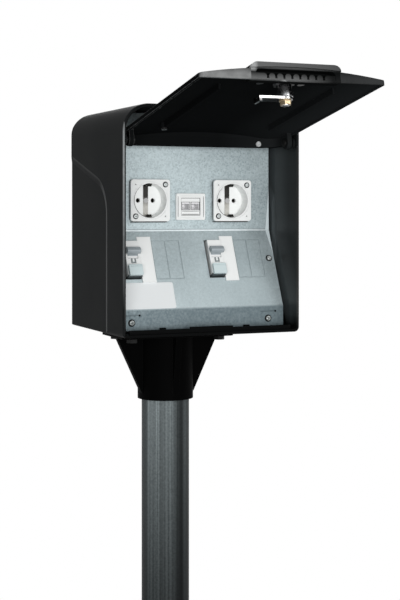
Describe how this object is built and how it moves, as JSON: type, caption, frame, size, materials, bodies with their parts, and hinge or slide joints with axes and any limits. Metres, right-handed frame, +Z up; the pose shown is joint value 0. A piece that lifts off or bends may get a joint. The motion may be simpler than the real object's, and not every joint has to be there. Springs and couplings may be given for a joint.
{
  "type": "garden socket post",
  "caption": "Planted steel post carrying a black lidded box with earthed sockets, a data outlet and protective switches on a bent zinc panel; the lid swings up and locks.",
  "frame": {"origin": "post axis at the tube's lower end", "axes": "+Z up along the post, -Y to the box's open front, +X to the right seen from the front"},
  "size_m": [0.225, 0.3996, 1.3085],
  "materials": {
    "post_steel": "dark grey steel tube with drawn streaks",
    "collar_black": "black powder coat",
    "black_shell": "fine moulded texture, satin",
    "dark_screw": "blackened steel",
    "bright_steel": "zinc plated",
    "panel_zinc": "hot-dip zinc with fine spangle",
    "rubber_black": "matt",
    "white_plastic": "smooth moulded white",
    "carrier_plastic": "moulded grey",
    "jack_grey": "moulded grey",
    "toggle_grey": "moulded slate grey",
    "key_grey": "moulded light blue grey",
    "brass": "turned brass",
    "lock_chrome": "polished"
  },
  "bodies": {
    "post": {"post_tube": "post_steel", "post_collar": "collar_black", "housing": "black_shell", "collar_set_screws": "dark_screw", "collar_bolts": "dark_screw", "left_hinge_pin": "dark_screw", "right_hinge_pin": "dark_screw", "collar_washers": "bright_steel", "collar_nuts": "bright_steel", "lip_screws": "bright_steel", "slope_screws": "bright_steel", "rail_brackets": "bright_steel", "din_rail": "bright_steel", "left_earth_clip": "bright_steel", "right_earth_clip": "bright_steel", "socket_screws": "bright_steel", "socket_centre_screws": "bright_steel", "front_panel": "panel_zinc", "cable_grommet": "rubber_black", "left_socket_seal": "rubber_black", "right_socket_seal": "rubber_black", "left_socket_front": "white_plastic", "right_socket_front": "white_plastic", "data_frame": "white_plastic", "data_insert": "white_plastic", "left_switch_body": "white_plastic", "right_switch_body": "white_plastic", "left_blanking_strip": "white_plastic", "right_blanking_strip": "white_plastic", "left_socket_carrier": "carrier_plastic", "right_socket_carrier": "carrier_plastic", "supply_terminals": "carrier_plastic", "data_jacks": "jack_grey", "left_pin_contacts": "brass", "right_pin_contacts": "brass", "data_contacts": "brass", "earth_terminal": "brass"},
    "lid": {"lid": "black_shell", "lid_screws": "bright_steel", "lid_grip": "black_shell", "grip_screws": "bright_steel", "lock_barrel": "lock_chrome", "lock_nut": "lock_chrome"},
    "lock_core": {"lock_plug": "lock_chrome", "lock_cam": "bright_steel", "cam_nut": "brass"},
    "left_toggle_body": {"left_toggle": "toggle_grey"},
    "right_toggle_body": {"right_toggle": "toggle_grey"},
    "left_key_body": {"left_test_key": "key_grey"},
    "right_key_body": {"right_test_key": "key_grey"}
  },
  "joints": [
    {"name": "lid_hinge", "type": "hinge", "parent": "post", "child": "lid", "pos_m": [0, -0.1415, 1.2385], "axis": [1, 0, 0], "range_deg": [0, 101.5]},
    {"name": "lock_turn", "type": "hinge", "parent": "lid", "child": "lock_core", "pos_m": [0.003, -0.32622, 1.27608], "axis": [0, 0.1994, 0.9799], "range_deg": [0, 90]},
    {"name": "left_toggle_tilt", "type": "hinge", "parent": "post", "child": "left_toggle_body", "pos_m": [-0.0824, -0.09766, 1.10335], "axis": [1, 0, 0], "range_deg": [0, 50]},
    {"name": "right_toggle_tilt", "type": "hinge", "parent": "post", "child": "right_toggle_body", "pos_m": [0.025, -0.09766, 1.10335], "axis": [1, 0, 0], "range_deg": [0, 50]},
    {"name": "left_key_press", "type": "slide", "parent": "post", "child": "left_key_body", "axis": [0, 0.9171, -0.3987], "range_m": [0, 0.0015], "stiffness_N_per_m": 1200, "springref_m": -0.0005},
    {"name": "right_key_press", "type": "slide", "parent": "post", "child": "right_key_body", "axis": [0, 0.9171, -0.3987], "range_m": [0, 0.0015], "stiffness_N_per_m": 1200, "springref_m": -0.0005}
  ]
}
